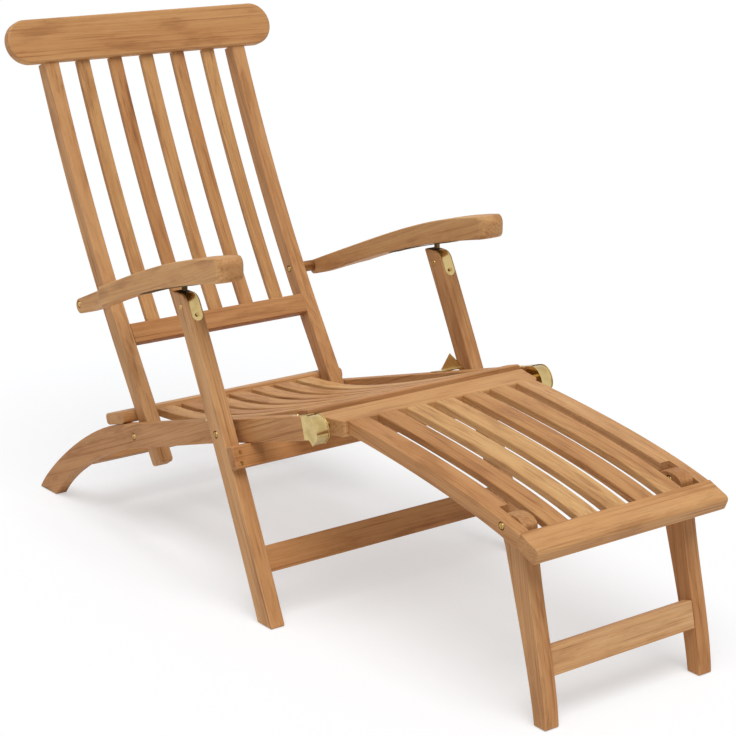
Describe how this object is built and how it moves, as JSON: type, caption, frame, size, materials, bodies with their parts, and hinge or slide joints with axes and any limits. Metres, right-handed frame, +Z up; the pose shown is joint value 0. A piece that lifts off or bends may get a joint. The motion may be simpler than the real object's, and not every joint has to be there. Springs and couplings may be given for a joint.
{
  "type": "steamer deck chair",
  "caption": "Folding teak lounger with a slatted dished seat, reclining curved back, notched arms hooked on a crossed leg frame, and a curved slatted footrest on folding legs.",
  "frame": {"origin": "middle of the footprint of the whole chair, on the ground", "axes": "+Z up, +Y from the footrest towards the reclined back, +X to the right as seen from the footrest end"},
  "size_m": [0.633, 1.4872, 0.9659],
  "materials": {
    "teak_frame": "planed and sanded teak, bare, with a fine straight grain",
    "teak_slats": "planed teak slats with eased edges, each slat its own tone",
    "teak_boards": "wide planed teak boards with a flowing grain figure",
    "brass_fittings": "pale satin brass sheet, brushed",
    "brass_bolts": "turned brass, lightly polished"
  },
  "bodies": {
    "seat": {"side_rail_left": "teak_frame", "side_rail_right": "teak_frame", "seat_front_rail": "teak_frame", "seat_rear_board": "teak_boards", "rear_stretcher": "teak_frame", "seat_slat_1": "teak_slats", "seat_slat_2": "teak_slats", "seat_slat_3": "teak_slats", "seat_slat_4": "teak_slats", "seat_slat_5": "teak_slats", "seat_slat_6": "teak_slats", "seat_slat_7": "teak_slats", "nose_cap_left": "brass_fittings", "nose_cap_right": "brass_fittings", "footrest_hinge_pin_left": "brass_bolts", "footrest_hinge_pin_right": "brass_bolts", "front_leg_bolt_left": "brass_bolts", "front_leg_bolt_right": "brass_bolts", "back_pivot_bolt_left": "brass_bolts", "back_pivot_bolt_right": "brass_bolts"},
    "backrest": {"back_stile_left": "teak_frame", "back_stile_right": "teak_frame", "top_rail": "teak_boards", "back_lower_rail": "teak_frame", "back_slat_1": "teak_slats", "back_slat_2": "teak_slats", "back_slat_3": "teak_slats", "back_slat_4": "teak_slats", "back_slat_5": "teak_slats", "arm_bolt_left": "brass_bolts", "arm_bolt_right": "brass_bolts", "arm_spacer_left": "brass_bolts", "arm_spacer_right": "brass_bolts"},
    "arm_left": {"armrest_left": "teak_boards", "notch_plate_left": "brass_fittings"},
    "arm_right": {"armrest_right": "teak_boards", "notch_plate_right": "brass_fittings"},
    "front_legs": {"front_leg_left": "teak_frame", "front_leg_right": "teak_frame", "arm_hook_left": "brass_fittings", "arm_hook_right": "brass_fittings", "leg_stop_left": "brass_fittings", "leg_stop_right": "brass_fittings", "upper_leg_brace": "teak_frame", "lower_leg_brace": "teak_frame"},
    "footrest": {"footrest_hinge_rail": "teak_boards", "footrest_front_rail": "teak_boards", "footrest_rail_left": "teak_frame", "footrest_rail_right": "teak_frame", "footrest_slat_1": "teak_slats", "footrest_slat_2": "teak_slats", "footrest_slat_3": "teak_slats", "footrest_slat_4": "teak_slats", "footrest_slat_5": "teak_slats", "footrest_leg_bolt_left": "brass_bolts", "footrest_leg_bolt_right": "brass_bolts"},
    "footrest_legs": {"footrest_leg_left": "teak_frame", "footrest_leg_right": "teak_frame", "footrest_leg_brace": "teak_frame"}
  },
  "joints": [
    {"name": "back_recline", "type": "hinge", "parent": "seat", "child": "backrest", "pos_m": [0, 0.35106, 0.20999], "axis": [1, 0, 0], "range_deg": [0, 80]},
    {"name": "arm_left_swing", "type": "hinge", "parent": "backrest", "child": "arm_left", "pos_m": [-0.2755, 0.49713, 0.44482], "axis": [1, 0, 0], "range_deg": [-80.5, 0]},
    {"name": "arm_right_swing", "type": "hinge", "parent": "backrest", "child": "arm_right", "pos_m": [0.2755, 0.49713, 0.44482], "axis": [1, 0, 0], "range_deg": [-80.5, 0]},
    {"name": "front_leg_fold", "type": "hinge", "parent": "seat", "child": "front_legs", "pos_m": [0, 0.00058, 0.312], "axis": [1, 0, 0], "range_deg": [0, 80.5]},
    {"name": "footrest_fold", "type": "hinge", "parent": "seat", "child": "footrest", "pos_m": [0, -0.23058, 0.37654], "axis": [1, 0, 0], "range_deg": [-68, 0]},
    {"name": "footrest_leg_fold", "type": "hinge", "parent": "footrest", "child": "footrest_legs", "pos_m": [0, -0.65558, 0.31704], "axis": [1, 0, 0], "range_deg": [0, 46]}
  ],
  "couplings": [
    {"joint": "arm_left_swing", "follows": "back_recline", "ratio": -1},
    {"joint": "arm_right_swing", "follows": "back_recline", "ratio": -1},
    {"joint": "front_leg_fold", "follows": "back_recline", "ratio": 1}
  ]
}
